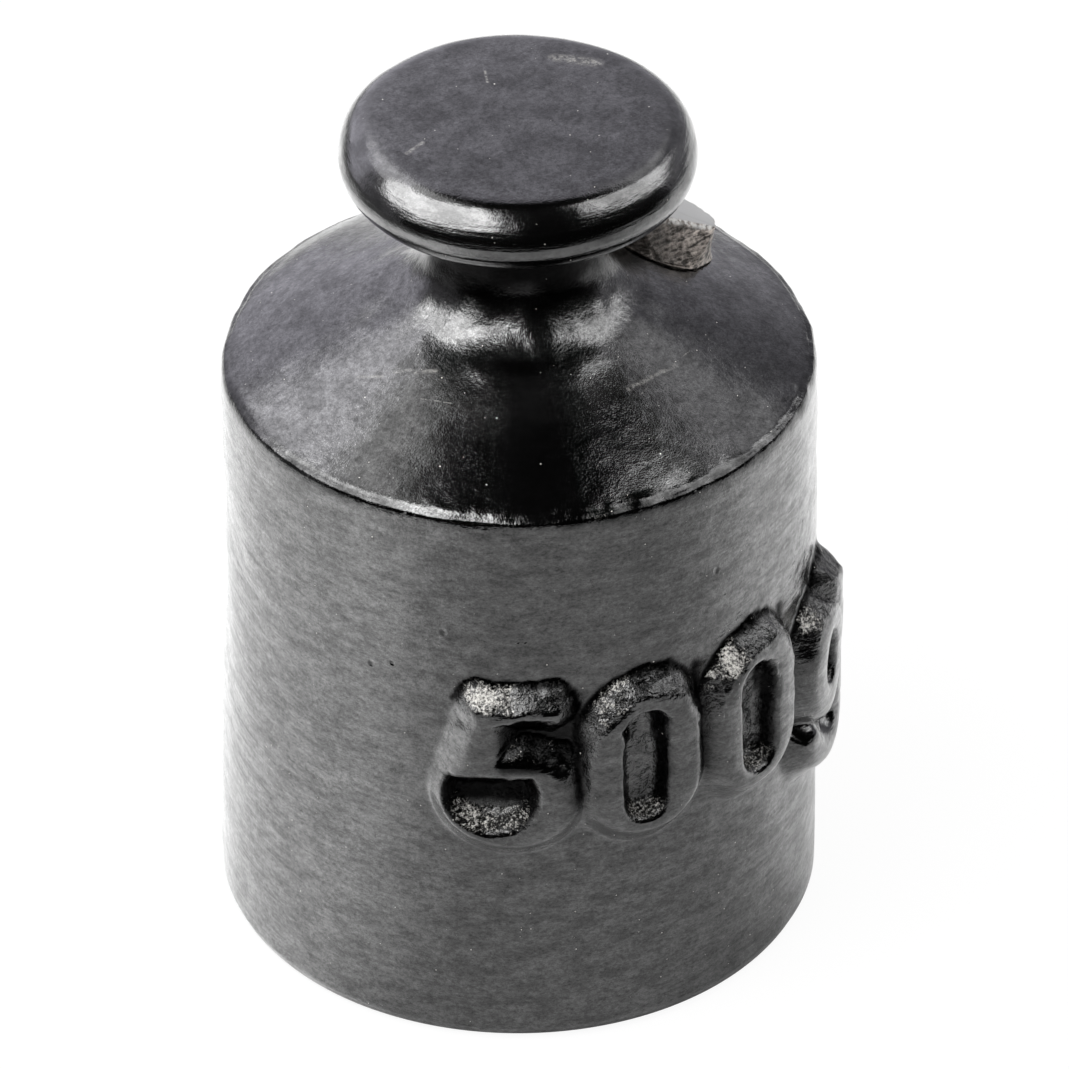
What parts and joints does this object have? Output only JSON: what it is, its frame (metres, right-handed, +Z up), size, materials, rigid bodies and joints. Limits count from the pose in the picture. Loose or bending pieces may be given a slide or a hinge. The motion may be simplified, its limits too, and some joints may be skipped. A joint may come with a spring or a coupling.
{
  "type": "knob scale weight",
  "caption": "Cast-iron 500 g scale weight with a knob on top, a sloping shoulder, raised figures on the wall and a lead-sealed adjusting hole.",
  "frame": {"origin": "centre of the round base face that the weight stands on", "axes": "+Z up along the axis of the body, from the base to the knob; the raised figures face -Y; the lead seal is on the +X side of the shoulder"},
  "size_m": [0.0426, 0.0442, 0.0645],
  "materials": {
    "enamelled_iron": "satin",
    "lead_shot": "satin",
    "brass": "satin",
    "lead_seal": "matte"
  },
  "bodies": {
    "root": {"body_casting": "enamelled_iron", "adjusting_shot": "lead_shot", "closing_disc": "brass", "seal_plug": "lead_seal"}
  },
  "joints": []
}
